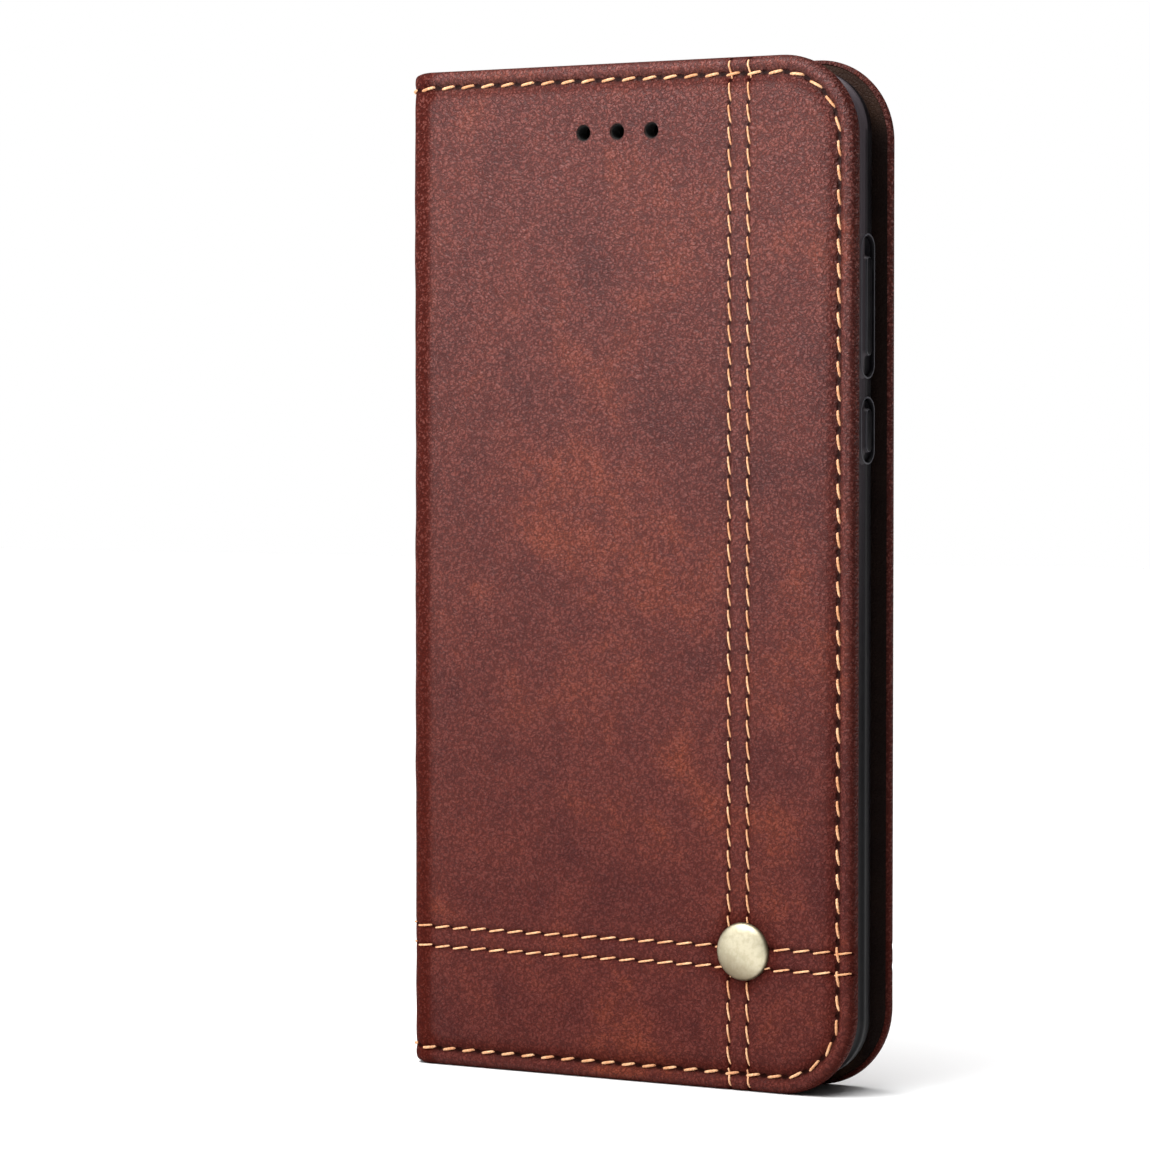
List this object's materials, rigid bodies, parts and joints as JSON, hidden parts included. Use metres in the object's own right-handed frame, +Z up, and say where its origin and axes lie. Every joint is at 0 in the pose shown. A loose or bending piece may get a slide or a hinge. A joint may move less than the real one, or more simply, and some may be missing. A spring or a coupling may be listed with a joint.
{
  "type": "phone wallet case",
  "caption": "Brown stitched leather folio phone case with a soft black tray, folding cover and spine, inner pockets and a round metal stud.",
  "frame": {"origin": "middle of the bounding box's bottom: the case stands closed on its bottom edge", "axes": "+Z up the case's height, -Y out of the front cover, +Y out of the back cover, -X out of the spine, +X out of the free edge with the keys"},
  "size_m": [0.0794, 0.0154, 0.158],
  "materials": {
    "leather": "waxed, mottled",
    "lining": "matt",
    "board": "matt",
    "thread": "matt",
    "brass": "antique, brushed",
    "rubber": "satin",
    "magnet": "plated",
    "adhesive": "matt"
  },
  "bodies": {
    "back_cover": {"back_cover_skin": "leather", "back_cover_board": "board", "back_cover_lining": "lining", "back_magnet_lower": "magnet", "back_magnet_upper": "magnet", "tray_adhesive": "adhesive", "phone_tray": "rubber", "back_edge_thread": "thread", "back_row_thread_lower": "thread", "back_row_thread_upper": "thread"},
    "spine": {"spine_skin": "leather", "spine_board": "board", "spine_lining": "lining", "front_crease": "leather", "back_crease": "leather", "spine_edge_thread_bottom": "thread", "spine_row_thread_lower": "thread", "spine_row_thread_upper": "thread", "spine_edge_thread_top": "thread"},
    "front_cover": {"front_cover_skin": "leather", "front_cover_board": "board", "front_cover_lining": "lining", "cash_pocket_panel": "lining", "card_pocket_rear": "lining", "card_pocket_front": "lining", "front_magnet_lower": "magnet", "front_magnet_upper": "magnet", "stud_cap": "brass", "stud_post": "brass", "front_edge_thread": "thread", "front_column_thread_upper": "thread", "front_column_thread_lower": "thread", "front_row_thread_inner": "thread", "front_row_thread_outer": "thread"},
    "volume_key": {"volume_key_cover": "rubber"},
    "power_key": {"power_key_cover": "rubber"}
  },
  "joints": [
    {"name": "spine_fold", "type": "hinge", "parent": "back_cover", "child": "spine", "pos_m": [-0.0387, 0.00665, 0.079], "axis": [0, 0, -1], "range_deg": [0, 178], "deforming": ["back_crease"]},
    {"name": "cover_fold", "type": "hinge", "parent": "spine", "child": "front_cover", "pos_m": [-0.0387, -0.00505, 0.079], "axis": [0, 0, -1], "range_deg": [0, 178], "deforming": ["front_crease"]},
    {"name": "volume_key_rock", "type": "hinge", "parent": "back_cover", "child": "volume_key", "pos_m": [0.0376, 0.0012, 0.11995], "axis": [0, 1, 0], "range_deg": [-2, 2], "stiffness_Nm_per_rad": 0.02},
    {"name": "power_key_press", "type": "slide", "parent": "back_cover", "child": "power_key", "axis": [-1, 0, 0], "range_m": [0, 0.0004], "stiffness_N_per_m": 400}
  ]
}
